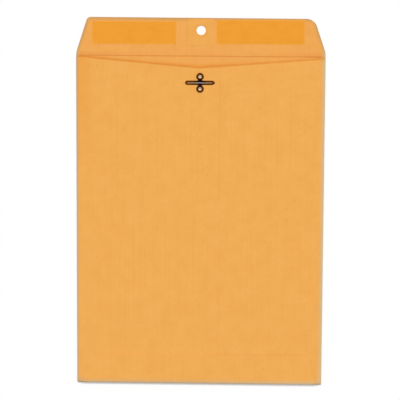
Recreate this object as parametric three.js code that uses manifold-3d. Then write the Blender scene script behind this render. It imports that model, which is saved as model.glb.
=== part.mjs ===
// Kraft clasp envelope, 9 x 12 in, open at one short end. It lies on its address side with the flap open.
// Millimetres. Seen from the clasp side, +X is to the right, +Y towards the flap and +Z up.
// The origin is on the surface that the envelope lies on, under the middle of its outline.
// The flap turns about a line along X over the score line, and each prong about a line along Y.

import * as THREE from 'three';
import { mergeVertices } from 'three/addons/utils/BufferGeometryUtils.js';
import Module from 'manifold-3d';

const wasm = await Module();
wasm.setup();

// Sheet and body
const bodyWidth = 228.6; // 9 in, over both side folds
const bodyHeight = 304.8; // 12 in, from the bottom fold to the score line of the flap
const paperThickness = 0.16; // 28 lb kraft
const pocketHeight = 1.0; // clear height between front and back as the envelope lies
const glueThickness = 0.03;

// Side folds: a pinched edge, from which the back panel lifts and levels out
const foldInnerRadius = 0.15;
const foldLiftAngle = THREE.MathUtils.degToRad(30);

// Centre seam: the left panel is glued over the right one
const seamEdgeX = 17.9; // the edge that shows, right of the middle
const seamOverlap = 25;
const seamGlueWidth = 12;
const seamGlueMargin = 1.5;

// Throat: the back panels are cut to a flat V below the score line
const throatLeftCornerDrop = 0.4;
const throatRightCornerDrop = 2;
const throatVertexX = -1.3;
const throatToClasp = 4.7;

// Bottom flap: glued over both back panels
const bottomFlapHeight = 27.6;
const bottomFlapClearance = 1.2; // from the rise of a side fold to the flap
const bottomFlapTaper = 7;
const bottomFlapCornerRadius = 6;
const bottomGlueHeight = 15;
const bottomGlueMargin = 2;

// Seal flap
const flapDepth = 35.4;
const flapShoulder = 3.4; // straight stretch beside the score line
const flapShoulderRadius = 14;
const flapTaper = 9.8;
const flapLeftCornerRadius = 2.6;
const flapRightCornerRadius = 5;

// Punched hole in the seal flap, and the paper patch round it
const holeDiameter = 8.7;
const holeX = 0.5;
const holeToFlapEdge = 11.9;
const patchSideClearance = 1.3; // to the nearer gum strip
const patchBelowHole = 14;
const patchToFlapEdge = 1.6;
const patchCornerRadius = 0.8;

// Seal gum on the inner face of the seal flap
const gumThickness = 0.04;
const gumToScoreLine = 10.2;
const gumCornerRadius = 1.4;
const leftGumToFlapEdge = 3.2;
const leftGumToSide = 14;
const leftGumToHole = 22.3;
const rightGumToFlapEdge = 2;
const rightGumToSide = 18.6;
const rightGumToHole = 13.3;

// Clasp: a bar with two prongs between two eyelets
const claspX = -0.3;
const foldTakeUp = 0.8; // what the fold of the flap takes from the distance between hole and clasp
const metalThickness = 0.3;
const barWidth = 3.9;
const barLength = 27.4;
const barCrown = 0.5; // height of the rounded top of the bar over the paper
const barEdgeHeight = 0.14;
const bendToBend = 3.2; // between the bend lines of the two prongs
const leftTipLength = 1.9;
const rightTipLength = 2.8;
const eyeletBoreRadius = 1.75;
const eyeletRimRadius = 3.45;
const eyeletRimHeight = 0.75;
const eyeletFlangeRadius = 2.9;
const eyeletToBar = 0.2;
const eyeletHoleClearance = 0.15;
const neckWidth = 3.2;
const clinchTabs = 6; // into which the lower end of each eyelet splits
const clinchSlitWidth = 0.35;

// Facets
const arcSegments = 6; // on each half of an arc
const holeSegments = 16;
const eyeletSegments = 36;
const rimSteps = 8;
const cutMargin = 2; // how far a cutter runs past what it cuts
const mergeTolerance = 1e-5;

// Levels of the layers, from the surface up
const frontTop = paperThickness;
const rightPanelUnderside = frontTop + pocketHeight;
const rightPanelTop = rightPanelUnderside + paperThickness;
const leftPanelUnderside = rightPanelTop + glueThickness;
const leftPanelTop = leftPanelUnderside + paperThickness;
const bottomFlapUnderside = leftPanelTop + glueThickness;
const bottomFlapTop = bottomFlapUnderside + paperThickness;

// Places that several pieces share
const halfWidth = bodyWidth / 2;
const bottomEdgeY = -(bodyHeight + flapDepth) / 2;
const scoreY = bottomEdgeY + bodyHeight;
const flapEdgeY = scoreY + flapDepth;
const holeY = flapEdgeY - holeToFlapEdge;
const claspY = scoreY - (holeY - scoreY) - foldTakeUp;
const eyeletOffset = barWidth / 2 + eyeletToBar + eyeletRimRadius;
const eyeletWallRadius = eyeletBoreRadius + metalThickness;
const throatLeftCornerY = scoreY - throatLeftCornerDrop;
const throatRightCornerY = scoreY - throatRightCornerDrop;
const throatVertexY = claspY + eyeletOffset + eyeletRimRadius + throatToClasp;
const foldOuterRadius = foldInnerRadius + paperThickness;
const leftFoldRun = foldRun(leftPanelUnderside);
const rightFoldRun = foldRun(rightPanelUnderside);
const bottomFoldRadius = bottomFlapTop / 2;
const panelBottomY = bottomEdgeY + bottomFoldRadius;
const bottomFlapHalfWidth = halfWidth - Math.max(leftFoldRun, rightFoldRun) - bottomFlapClearance;

// The radius at which a back panel levels out from a side fold
function riseRadius(panelUnderside) {
  const middleRadius = foldInnerRadius + paperThickness / 2;
  const liftHeight = foldOuterRadius + middleRadius * Math.cos(foldLiftAngle);
  const rise = panelUnderside + paperThickness / 2 - liftHeight;
  return rise / (1 - Math.cos(foldLiftAngle));
}

// How far inside the edge of the body a side fold ends and its level panel begins
function foldRun(panelUnderside) {
  const middleRadius = foldInnerRadius + paperThickness / 2;
  const levelling = riseRadius(panelUnderside) - middleRadius;
  return foldOuterRadius + levelling * Math.sin(foldLiftAngle);
}

// Solids for cutting and joining
function toSolid(geometry) {
  const bare = geometry.clone();
  bare.deleteAttribute('normal');
  bare.deleteAttribute('uv');
  const merged = mergeVertices(bare, mergeTolerance);
  return new wasm.Manifold(new wasm.Mesh({
    numProp: 3,
    vertProperties: new Float32Array(merged.attributes.position.array),
    triVerts: new Uint32Array(merged.index.array),
  }));
}

function toGeometry(solid) {
  const mesh = solid.getMesh();
  const geometry = new THREE.BufferGeometry();
  geometry.setAttribute('position', new THREE.BufferAttribute(mesh.vertProperties, 3));
  geometry.setIndex(new THREE.BufferAttribute(mesh.triVerts, 1));
  return geometry;
}

// An outline through corners given as [x, y, radius], anticlockwise
function roundedOutline(corners) {
  const shape = new THREE.Shape();
  corners.forEach(([x, y, radius = 0], index) => {
    const corner = new THREE.Vector2(x, y);
    const toBefore = directionTo(corner, corners.at(index - 1));
    const toAfter = directionTo(corner, corners[(index + 1) % corners.length]);
    const halfAngle = Math.acos(toBefore.dot(toAfter)) / 2;
    const setback = radius / Math.tan(halfAngle);
    const start = corner.clone().addScaledVector(toBefore, setback);
    if (index === 0) shape.moveTo(start.x, start.y);
    else shape.lineTo(start.x, start.y);
    if (radius === 0) return;
    const end = corner.clone().addScaledVector(toAfter, setback);
    const inward = toBefore.clone().add(toAfter).normalize();
    const centre = corner.clone().addScaledVector(inward, radius / Math.sin(halfAngle));
    const startAngle = start.sub(centre).angle();
    const endAngle = end.sub(centre).angle();
    shape.absarc(centre.x, centre.y, radius, startAngle, endAngle, false);
  });
  return shape;
}

function directionTo(from, [x, y]) {
  return new THREE.Vector2(x, y).sub(from).normalize();
}

function rectangle(left, right, bottom, top, radius = 0) {
  return roundedOutline([
    [left, bottom, radius],
    [right, bottom, radius],
    [right, top, radius],
    [left, top, radius],
  ]);
}

function roundHole(x, y, radius) {
  const path = new THREE.Path();
  path.absarc(x, y, radius, 0, 2 * Math.PI, true);
  return path;
}

// A flat piece of sheet between two levels
function plate(shape, low, high, curveSegments = arcSegments) {
  const depth = high - low;
  const geometry = new THREE.ExtrudeGeometry(shape, { depth, bevelEnabled: false, curveSegments });
  return geometry.translate(0, 0, low);
}

// A cross-section drawn in X and Z, run along Y from yLow to yHigh
function runAlongY(section, yLow, yHigh) {
  return plate(section, 0, yHigh - yLow).rotateX(Math.PI / 2).translate(0, yHigh, 0);
}

// A cross-section drawn in Y and Z, run along X from xLow to xHigh
function runAlongX(section, xLow, xHigh) {
  const prism = plate(section, 0, xHigh - xLow);
  return prism.rotateX(Math.PI / 2).rotateZ(Math.PI / 2).translate(xLow, 0, 0);
}

// Everything above the V of the throat, from the middle height of the pinched side folds up
function throatCutter() {
  const leftSlope = (throatLeftCornerY - throatVertexY) / (halfWidth + throatVertexX);
  const rightSlope = (throatRightCornerY - throatVertexY) / (halfWidth - throatVertexX);
  const outline = roundedOutline([
    [-halfWidth - cutMargin, throatLeftCornerY + leftSlope * cutMargin],
    [throatVertexX, throatVertexY],
    [halfWidth + cutMargin, throatRightCornerY + rightSlope * cutMargin],
    [halfWidth + cutMargin, flapEdgeY],
    [-halfWidth - cutMargin, flapEdgeY],
  ]);
  return toSolid(plate(outline, foldOuterRadius, bottomFlapTop + cutMargin));
}

function cutThroat(geometry) {
  return toGeometry(toSolid(geometry).subtract(throatCutter()));
}

// Front panel: the full sheet at the flap end, narrower between the side folds,
// with a tab at each bottom corner beside the bottom fold
function frontPanel() {
  const innerX = halfWidth - foldOuterRadius;
  return plate(roundedOutline([
    [-innerX, bottomEdgeY],
    [-bottomFlapHalfWidth, bottomEdgeY],
    [-bottomFlapHalfWidth, panelBottomY],
    [bottomFlapHalfWidth, panelBottomY],
    [bottomFlapHalfWidth, bottomEdgeY],
    [innerX, bottomEdgeY],
    [innerX, throatRightCornerY],
    [halfWidth, throatRightCornerY],
    [halfWidth, scoreY],
    [-halfWidth, scoreY],
    [-halfWidth, throatLeftCornerY],
    [-innerX, throatLeftCornerY],
  ]), 0, frontTop);
}

// Side fold: round the pinched edge, then up at the lift angle and level into the back panel.
// The section is drawn from the outer edge of the body inwards.
function sideFoldSection(panelUnderside) {
  const run = foldRun(panelUnderside);
  const radius = riseRadius(panelUnderside);
  const riseCentreZ = panelUnderside + paperThickness / 2 - radius;
  const bottom = -Math.PI / 2;
  const top = Math.PI / 2;
  const lift = top + foldLiftAngle;
  const section = new THREE.Shape();
  section.moveTo(foldOuterRadius, 0);
  section.absarc(foldOuterRadius, foldOuterRadius, foldOuterRadius, bottom, lift, true);
  section.absarc(run, riseCentreZ, radius + paperThickness / 2, lift, top, true);
  section.absarc(run, riseCentreZ, radius - paperThickness / 2, top, lift, false);
  section.absarc(foldOuterRadius, foldOuterRadius, foldInnerRadius, lift, bottom, false);
  return section;
}

function leftSideFold() {
  const fold = runAlongY(sideFoldSection(leftPanelUnderside), bottomEdgeY, throatLeftCornerY);
  return cutThroat(fold.translate(-halfWidth, 0, 0));
}

function rightSideFold() {
  const fold = runAlongY(sideFoldSection(rightPanelUnderside), -throatRightCornerY, -bottomEdgeY);
  return cutThroat(fold.rotateZ(Math.PI).translate(halfWidth, 0, 0));
}

// Back panels: both are punched for the eyelets where they overlap under the clasp
function backPanel(left, right, underside) {
  const outline = rectangle(left, right, panelBottomY, scoreY);
  const radius = eyeletWallRadius + eyeletHoleClearance;
  for (const side of [-1, 1]) {
    outline.holes.push(roundHole(claspX, claspY + side * eyeletOffset, radius));
  }
  return cutThroat(plate(outline, underside, underside + paperThickness, holeSegments));
}

function leftBackPanel() {
  return backPanel(-halfWidth + leftFoldRun, seamEdgeX, leftPanelUnderside);
}

function rightBackPanel() {
  return backPanel(seamEdgeX - seamOverlap, halfWidth - rightFoldRun, rightPanelUnderside);
}

function centreSeamGlue() {
  const right = seamEdgeX - seamGlueMargin;
  const left = right - seamGlueWidth;
  const bottom = panelBottomY + seamGlueMargin;
  const top = throatVertexY - seamGlueMargin;
  return plate(rectangle(left, right, bottom, top, seamGlueMargin), rightPanelTop, leftPanelUnderside);
}

// Bottom fold: a half round from the front panel up to the bottom flap, past the ends of the back panels
function bottomFold() {
  const section = new THREE.Shape();
  const centreY = panelBottomY;
  const centreZ = bottomFoldRadius;
  section.moveTo(centreY, 0);
  section.absarc(centreY, centreZ, bottomFoldRadius, -Math.PI / 2, Math.PI / 2, true);
  section.absarc(centreY, centreZ, bottomFoldRadius - paperThickness, Math.PI / 2, -Math.PI / 2, false);
  return runAlongX(section, -bottomFlapHalfWidth, bottomFlapHalfWidth);
}

function bottomFlap() {
  const topY = bottomEdgeY + bottomFlapHeight;
  const topHalfWidth = bottomFlapHalfWidth - bottomFlapTaper;
  return plate(roundedOutline([
    [-bottomFlapHalfWidth, panelBottomY],
    [bottomFlapHalfWidth, panelBottomY],
    [topHalfWidth, topY, bottomFlapCornerRadius],
    [-topHalfWidth, topY, bottomFlapCornerRadius],
  ]), bottomFlapUnderside, bottomFlapTop);
}

// The glue under the bottom flap is thicker right of the seam, where the right panel lies lower
function bottomSeamGlue() {
  const topY = bottomEdgeY + bottomFlapHeight - bottomGlueMargin;
  const halfLength = bottomFlapHalfWidth - bottomFlapTaper - bottomFlapCornerRadius;
  const section = roundedOutline([
    [-halfLength, leftPanelTop],
    [seamEdgeX, leftPanelTop],
    [seamEdgeX, rightPanelTop],
    [halfLength, rightPanelTop],
    [halfLength, bottomFlapUnderside],
    [-halfLength, bottomFlapUnderside],
  ]);
  return runAlongY(section, topY - bottomGlueHeight, topY);
}

function sealFlap() {
  const outline = roundedOutline([
    [-halfWidth, scoreY],
    [halfWidth, scoreY],
    [halfWidth, scoreY + flapShoulder, flapShoulderRadius],
    [halfWidth - flapTaper, flapEdgeY, flapRightCornerRadius],
    [-halfWidth + flapTaper, flapEdgeY, flapLeftCornerRadius],
    [-halfWidth, scoreY + flapShoulder, flapShoulderRadius],
  ]);
  outline.holes.push(roundHole(holeX, holeY, holeDiameter / 2));
  return plate(outline, 0, frontTop, holeSegments);
}

function holePatch() {
  const halfPatch = rightGumToHole - patchSideClearance;
  const bottom = holeY - patchBelowHole;
  const top = flapEdgeY - patchToFlapEdge;
  const outline = rectangle(holeX - halfPatch, holeX + halfPatch, bottom, top, patchCornerRadius);
  outline.holes.push(roundHole(holeX, holeY, holeDiameter / 2));
  return plate(outline, frontTop, frontTop + paperThickness, holeSegments);
}

function gumStrip(left, right, toFlapEdge) {
  const outline = rectangle(left, right, scoreY + gumToScoreLine, flapEdgeY - toFlapEdge, gumCornerRadius);
  return plate(outline, frontTop, frontTop + gumThickness);
}

function leftGumStrip() {
  return gumStrip(-halfWidth + leftGumToSide, holeX - leftGumToHole, leftGumToFlapEdge);
}

function rightGumStrip() {
  return gumStrip(holeX + rightGumToHole, halfWidth - rightGumToSide, rightGumToFlapEdge);
}

// Section of the clasp bar in Y and Z: flat on the paper, with low edges and a rounded top
function barSection() {
  const section = new THREE.Shape();
  const half = barWidth / 2;
  section.moveTo(-half, 0);
  section.lineTo(half, 0);
  section.lineTo(half, barEdgeHeight);
  section.absellipse(0, barEdgeHeight, half, barCrown - barEdgeHeight, 0, Math.PI, false);
  return section;
}

// Section of the hollow under a prong, because the crown is pressed into sheet of one thickness
function hollowSection() {
  const section = new THREE.Shape();
  const half = barWidth / 2 - metalThickness;
  section.moveTo(-half, -cutMargin);
  section.lineTo(half, -cutMargin);
  section.lineTo(half, 0);
  section.absellipse(0, 0, half, barCrown - metalThickness, 0, Math.PI, false);
  return section;
}

// A prong along +X from its bend line: a crowned strip, cut to a pointed arch at its tip, where it is closed
function prong(tipLength) {
  const start = bendToBend / 2;
  const end = barLength / 2;
  const half = barWidth / 2;
  const plan = new THREE.Shape();
  plan.moveTo(start, -half);
  plan.lineTo(end - tipLength, -half);
  plan.bezierCurveTo(end - tipLength / 2, -half, end, -half / 2, end, 0);
  plan.bezierCurveTo(end, half / 2, end - tipLength / 2, half, end - tipLength, half);
  plan.lineTo(start, half);
  const strip = toSolid(runAlongX(barSection(), start, end));
  const hollow = toSolid(runAlongX(hollowSection(), start - cutMargin, end - tipLength));
  return toGeometry(strip.subtract(hollow).intersect(toSolid(plate(plan, -cutMargin, cutMargin))));
}

// Eyelet profile as radius and height over the paper: a rolled rim on top, a barrel through
// both back panels and a flange clinched under them
function eyeletProfile() {
  const flangeTop = rightPanelUnderside - leftPanelTop;
  const flangeBottom = flangeTop - metalThickness;
  const rimMiddle = (eyeletRimRadius + eyeletBoreRadius) / 2;
  const rimHalf = (eyeletRimRadius - eyeletBoreRadius) / 2;
  const profile = [
    new THREE.Vector2(eyeletBoreRadius, flangeBottom),
    new THREE.Vector2(eyeletFlangeRadius, flangeBottom),
    new THREE.Vector2(eyeletFlangeRadius, flangeTop),
    new THREE.Vector2(eyeletWallRadius, flangeTop),
    new THREE.Vector2(eyeletWallRadius, 0),
  ];
  for (let step = 0; step <= rimSteps; step += 1) {
    const angle = (step / rimSteps) * Math.PI;
    const radius = rimMiddle + rimHalf * Math.cos(angle);
    profile.push(new THREE.Vector2(radius, eyeletRimHeight * Math.sin(angle)));
  }
  profile.push(profile[0].clone());
  return profile;
}

// The slits that split the flange of an eyelet into tabs, open at its outside
function clinchSlits() {
  const flangeTop = rightPanelUnderside - leftPanelTop;
  const length = eyeletFlangeRadius - eyeletWallRadius + cutMargin;
  const height = metalThickness + cutMargin;
  const slits = [];
  for (let tab = 0; tab < clinchTabs; tab += 1) {
    const slit = new THREE.BoxGeometry(length, clinchSlitWidth, height);
    slit.translate(eyeletWallRadius + length / 2, 0, flangeTop - height / 2);
    slits.push(toSolid(slit.rotateZ(((tab + 0.5) / clinchTabs) * 2 * Math.PI)));
  }
  return slits;
}

function eyelet() {
  const lathe = new THREE.LatheGeometry(eyeletProfile(), eyeletSegments).rotateX(Math.PI / 2);
  return clinchSlits().reduce((body, slit) => body.subtract(slit), toSolid(lathe));
}

// Clasp body: the middle of the bar, a neck on each side of it and an eyelet beyond each neck
function claspBody() {
  const bore = new THREE.CylinderGeometry(eyeletBoreRadius, eyeletBoreRadius, cutMargin, eyeletSegments);
  bore.rotateX(Math.PI / 2);
  const neck = new THREE.BoxGeometry(neckWidth, 2 * eyeletOffset, metalThickness);
  neck.translate(0, 0, metalThickness / 2);
  let body = toSolid(runAlongX(barSection(), -bendToBend / 2, bendToBend / 2)).add(toSolid(neck));
  for (const side of [-1, 1]) {
    const place = [0, side * eyeletOffset, 0];
    body = body.subtract(toSolid(bore).translate(place)).add(eyelet().translate(place));
  }
  return toGeometry(body);
}

// Materials
function paper(color) {
  return new THREE.MeshStandardMaterial({ color, roughness: 0.85, metalness: 0 });
}

const kraft = paper(0xf0ac57);
const foldedKraft = paper(0xe6a14f);
const patchKraft = paper(0xf2b060);
const gum = new THREE.MeshStandardMaterial({ color: 0xee9e36, roughness: 0.35, metalness: 0 });
const driedGlue = new THREE.MeshStandardMaterial({ color: 0xd8b27a, roughness: 0.5, metalness: 0 });
const steel = new THREE.MeshStandardMaterial({ color: 0x8d878c, roughness: 0.35, metalness: 1 });

const envelope = new THREE.Group();

function piece(name, geometry, material, parent = envelope) {
  const mesh = new THREE.Mesh(geometry, material);
  mesh.name = name;
  parent.add(mesh);
  return mesh;
}

piece('front_panel', frontPanel(), kraft);
piece('left_side_fold', leftSideFold(), foldedKraft);
piece('right_side_fold', rightSideFold(), foldedKraft);
piece('left_back_panel', leftBackPanel(), kraft);
piece('right_back_panel', rightBackPanel(), kraft);
piece('centre_seam_glue', centreSeamGlue(), driedGlue);
piece('bottom_fold', bottomFold(), foldedKraft);
piece('bottom_flap', bottomFlap(), kraft);
piece('bottom_seam_glue', bottomSeamGlue(), driedGlue);
piece('seal_flap', sealFlap(), kraft);
piece('hole_patch', holePatch(), patchKraft);
piece('gum_strip_left', leftGumStrip(), gum);
piece('gum_strip_right', rightGumStrip(), gum);

// The clasp is built round its own middle, on the back panels
const clasp = new THREE.Group();
clasp.position.set(claspX, claspY, leftPanelTop);
envelope.add(clasp);
piece('clasp_body', claspBody(), steel, clasp);
piece('clasp_prong_right', prong(rightTipLength), steel, clasp);
piece('clasp_prong_left', prong(leftTipLength), steel, clasp).rotation.z = Math.PI;

export default envelope;
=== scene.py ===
"""Looks of a 9 x 12 in kraft clasp envelope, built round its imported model. Metres, +Z up."""

import math

import bmesh
import bpy
from bpy.props import FloatProperty, FloatVectorProperty, PointerProperty
from bpy.types import Operator, Panel, PropertyGroup
from mathutils import Euler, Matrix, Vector


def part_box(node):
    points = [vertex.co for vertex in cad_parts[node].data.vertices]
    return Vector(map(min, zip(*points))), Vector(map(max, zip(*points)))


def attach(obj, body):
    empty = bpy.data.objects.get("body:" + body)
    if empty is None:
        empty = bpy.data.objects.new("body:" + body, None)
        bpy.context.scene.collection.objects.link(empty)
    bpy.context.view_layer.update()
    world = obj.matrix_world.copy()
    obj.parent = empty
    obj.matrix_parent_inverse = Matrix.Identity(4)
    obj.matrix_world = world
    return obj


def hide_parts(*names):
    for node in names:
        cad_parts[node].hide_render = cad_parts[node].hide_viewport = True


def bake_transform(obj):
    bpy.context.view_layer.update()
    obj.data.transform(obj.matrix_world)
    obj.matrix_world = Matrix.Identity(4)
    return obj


bl_info = {
    "name": "Kraft Clasp Envelope",
    "version": (1, 0, 0),
    "blender": (4, 5, 0),
    "location": "3D View > Sidebar > Envelope",
    "description": "Models a kraft envelope with a gummed flap and a metal clasp",
    "category": "Object",
}

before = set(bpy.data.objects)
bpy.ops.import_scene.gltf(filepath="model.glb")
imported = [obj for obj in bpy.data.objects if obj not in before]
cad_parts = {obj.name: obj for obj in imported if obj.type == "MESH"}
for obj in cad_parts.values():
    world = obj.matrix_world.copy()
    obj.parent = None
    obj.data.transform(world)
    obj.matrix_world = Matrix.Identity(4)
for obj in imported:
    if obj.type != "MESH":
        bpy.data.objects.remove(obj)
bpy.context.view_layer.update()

MM = 0.001
TINY = 1e-6

# Places of the sheets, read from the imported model
front_low, front_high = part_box("front_panel")
flap_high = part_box("seal_flap")[1]
left_low, left_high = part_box("left_back_panel")
right_low, right_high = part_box("right_back_panel")
bottom_low, bottom_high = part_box("bottom_flap")
patch_low, patch_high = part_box("hole_patch")
clasp_low, clasp_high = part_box("clasp_body")
left_prong_low, left_prong_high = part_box("clasp_prong_left")
right_prong_low, right_prong_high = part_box("clasp_prong_right")

paper = front_high.z
half_width = front_high.x
score_y = front_high.y
bottom_edge_y = front_low.y
panel_bottom_y = left_low.y
left_throat_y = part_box("left_side_fold")[1].y
right_throat_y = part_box("right_side_fold")[1].y
bottom_flap_half = bottom_high.x
hole_x = (patch_low.x + patch_high.x) / 2

# Places of the clasp
clasp_x = (clasp_low.x + clasp_high.x) / 2
clasp_y = (clasp_low.y + clasp_high.y) / 2
clasp_level = left_high.z
rim_radius = (clasp_high.x - clasp_low.x) / 2
rim_height = clasp_high.z - clasp_level
eyelet_offset = (clasp_high.y - clasp_low.y) / 2 - rim_radius
bar_width = left_prong_high.y - left_prong_low.y
bar_crown = left_prong_high.z - clasp_level


# Settings that a user would change

def length(name, description, millimetres, low=0):
    return FloatProperty(
        name=name, description=description, default=millimetres * MM, min=low * MM,
        subtype="DISTANCE", unit="LENGTH", precision=5,
    )


def angle(name, description, degrees):
    return FloatProperty(
        name=name, description=description, default=math.radians(degrees),
        subtype="ANGLE", unit="ROTATION",
    )


def strength(name, description, default):
    return FloatProperty(
        name=name, description=description, default=default, min=0, soft_max=2, subtype="FACTOR",
    )


def colour(name, description, default):
    return FloatVectorProperty(
        name=name, description=description, default=default,
        size=3, min=0.0, max=1.0, subtype="COLOR",
    )


class EnvelopePaper(PropertyGroup):
    """Sizes and colours of the folded kraft sheet"""

    kraft: colour("Kraft", "Colour of the kraft paper", (0.905, 0.436, 0.101))
    kraft_dark: colour("Dark Fibres", "Colour of the darker fibres", (0.827, 0.377, 0.072))
    inner_side: colour("Inner Side", "Tint of the side that was rolled inwards", (1.0, 0.955, 0.98))
    # Partly scuffing and partly painted shade: the darker colour of cut edges, folds, the throat and the
    # bottom edge
    worn_edge: colour("Worn Edge", "Darker colour of cut edges", (0.42, 0.22, 0.09))
    # Painted shade: greyer band along the left fold, the bottom edge and the other edges
    faded: colour("Faded", "Greyer colour along folds and edges", (0.62, 0.415, 0.205))
    # Painted light: paler band along the right fold, which turns towards the lamps
    faded_right: colour("Faded Right", "Paler colour along the right fold", (0.62, 0.47, 0.26))
    faded_flap: colour("Faded Flap", "Browner colour along the flap's edges", (0.60, 0.325, 0.115))
    faded_reach: length("Faded Reach", "Reach of the faded band from a fold or an edge", 3.4)
    faded_far: length("Faded Far", "Reach of the band on the right and along the bottom", 4.8)
    # Also the colour of the painted shade beyond the score line
    creased: colour("Creased", "Colour in the score line", (0.66, 0.20, 0.028))
    mouth_shade: colour("Mouth Shade", "Warm shade of the back sheets in the mouth", (0.95, 0.80, 0.46))
    mouth_reach: length("Mouth Reach", "Reach of the shade from the throat into the mouth", 4.5)
    fold_radius: length("Fold Radius", "Inside radius of a pinched side fold", 0.15)
    fold_lift: angle("Fold Lift", "Angle at which a back sheet lifts from its fold", 30)
    throat_x: length("Throat Point X", "Place of the lowest point of the throat", -1.3, -100)
    throat_drop: length("Throat Drop", "From the score line down to the throat's point", 10.7)
    left_taper: length("Left Taper", "How far the left side of the flap slants in", 10.5)
    right_taper: length("Right Taper", "How far the right side of the flap slants in", 11.0)
    flap_shoulder: length("Flap Shoulder", "Straight stretch of the flap beside the score line", 3.4)
    shoulder_radius: length("Shoulder Radius", "Radius where a side of the flap turns in", 14)
    left_corner_radius: length("Left Corner", "Radius of the left corner of the flap", 4.2)
    right_corner_radius: length("Right Corner", "Radius of the right corner of the flap", 9.5)
    flap_skew: length("Flap Skew", "How much lower the free edge runs at its right end", 1.35)
    score_skew: length("Score Skew", "How much lower the score line runs at its right end", 1.0)
    hole_diameter: length("Hole Diameter", "Diameter of the punched hole", 8.7)
    hole_to_edge: length("Hole To Edge", "From the middle of the hole to the flap's edge", 11.9)
    crease_depth: length("Crease Depth", "Depth of the groove pressed along the score line", 0.05)
    bend_reach: length("Bend Reach", "Reach of the bend on each side of the score line", 1.0)
    bottom_taper: length("Bottom Flap Taper", "How far each side of the bottom flap slants in", 7)
    bottom_corner: length("Bottom Flap Corner", "Radius of the corners of the bottom flap", 6)
    patch_corner: length("Patch Corner", "Radius of the corners of the hole patch", 0.8)
    swell: length("Swell", "How far the back sheets swell between seam and fold", 0.5)
    flap_curl: length("Flap Curl", "How far the flap lifts towards its free edge", 0.22)
    grid: length("Grid", "Spacing of the rows that let a sheet curve", 6)
    border: length("Border", "Width of the worn border along an edge", 0.7)


class EnvelopeGum(PropertyGroup):
    """Seal gum, dried glue and the patch"""

    gum: colour("Gum", "Colour of the seal gum", (0.865, 0.338, 0.022))
    gum_dark: colour("Thick Gum", "Colour where the gum lies thicker", (0.825, 0.31, 0.014))
    glue: colour("Glue", "Colour of the dried glue", (0.69, 0.45, 0.19))
    patch: colour("Patch", "Colour of the hole patch", (0.905, 0.43, 0.098))
    gum_thin: length("Thin Gum", "Reach of the thin border of a gum strip", 1.3)
    gum_corner: length("Gum Corner", "Radius of the corners of a gum strip", 1.4)
    raggedness: length("Raggedness", "How far the edge of the gum wanders", 0.35)


class EnvelopeClasp(PropertyGroup):
    """Sizes and colours of the metal clasp"""

    metal: length("Metal", "Thickness of the metal", 0.3)
    bar_edge: length("Bar Edge", "Height of the edges of the bar", 0.14)
    bore_radius: length("Bore Radius", "Radius of the bore of an eyelet", 1.75)
    barrel_radius: length("Barrel Radius", "Inside radius of a barrel at its narrowest", 0.6)
    barrel_depth: length("Barrel Depth", "Depth over which a barrel narrows", 0.4)
    flange_radius: length("Flange Radius", "Radius of the clinched flange", 2.9)
    neck_width: length("Neck Width", "Width of the neck beside an eyelet", 3.2)
    neck_flare: length("Neck Flare", "How much wider the neck is where it meets the bar", 0.9)
    slit_width: length("Slit Width", "Width of the slits between the clinched tabs", 0.35)
    left_tip: length("Left Tip", "Length of the rounded tip of the left prong", 1.95)
    right_tip: length("Right Tip", "Length of the arched tip of the right prong", 2.8)
    bend_reach: length("Bend Reach", "Reach of the bend on each side of its line", 0.7)
    # Painted highlight: pale line along the top of the bar, cooler in its middle
    crown: colour("Crown", "Colour along the top of the bar", (0.46, 0.29, 0.15))
    crown_middle: colour("Crown Middle", "Cooler colour in the middle of the bar", (0.40, 0.31, 0.33))
    # Painted shade and dark reflections: near-black on the middle and the necks, red-brown towards the
    # tips, brown on the rolled eyelets
    tarnish: colour("Tarnish", "Near-black colour of the middle and the necks", (0.012, 0.005, 0.004))
    tarnish_ends: colour("Tarnished Ends", "Red-brown colour towards the tips", (0.10, 0.026, 0.002))
    tarnish_rings: colour("Tarnished Rings", "Brown colour of the rolled eyelets", (0.085, 0.027, 0.003))
    # Painted highlight: pale colour inside the eyelets
    bright: colour("Bright", "Colour of the metal inside the eyelets", (0.79, 0.57, 0.38))


class EnvelopeStage(PropertyGroup):
    """Camera, lights and floor"""

    distance: length("Camera Distance", "From the camera to the middle of the picture", 1060)
    aim_x: length("Aim X", "Point on the floor in the middle of the picture", 0.18, -1000)
    aim_y: length("Aim Y", "Point on the floor in the middle of the picture", 2.34, -1000)
    tilt: angle("Tilt", "Tilt of the camera about X", -4.709)
    side_tilt: angle("Side Tilt", "Tilt of the camera about Y", 1.645)
    roll: angle("Roll", "Turn of the camera about its view", 0.29)
    lens: FloatProperty(name="Lens", description="Focal length", default=102.96, min=1, unit="CAMERA")
    sky: strength("Sky", "Strength of the light from all round", 0.58)
    key: strength("Key", "Strength of the light on the right", 1.55)
    fill: strength("Fill", "Strength of the light on the left", 1.09)
    lamp_height: angle("Lamp Height", "Height of both lights over the floor", 30)
    lamp_side: angle("Lamp Side", "Turn of both lights from the flap end to their sides", 38)
    lamp_softness: angle("Lamp Softness", "Width of a light as the floor sees it", 14)
    floor: colour("Floor", "Colour of the floor", (1.0, 1.0, 1.0))


class KraftEnvelope(PropertyGroup):
    """All settings of the envelope"""

    paper: PointerProperty(type=EnvelopePaper, name="Paper", description="Folded kraft sheet")
    gum: PointerProperty(type=EnvelopeGum, name="Gum", description="Gum, glue and patch")
    clasp: PointerProperty(type=EnvelopeClasp, name="Clasp", description="Metal clasp")
    stage: PointerProperty(type=EnvelopeStage, name="Stage", description="Camera, lights and floor")


# Modelling by hand: a primitive at the origin is shaped in edit mode, so its place lies in its mesh

def select_all():
    bpy.ops.mesh.select_all(action="SELECT")


def edit_all():
    """Go to edit mode, with the whole mesh selected."""
    bpy.ops.object.mode_set(mode="EDIT")
    select_all()


def stop_edit():
    bpy.ops.object.mode_set(mode="OBJECT")


def make_active(piece):
    bpy.ops.object.select_all(action="DESELECT")
    bpy.context.view_layer.objects.active = piece
    piece.select_set(True)


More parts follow.
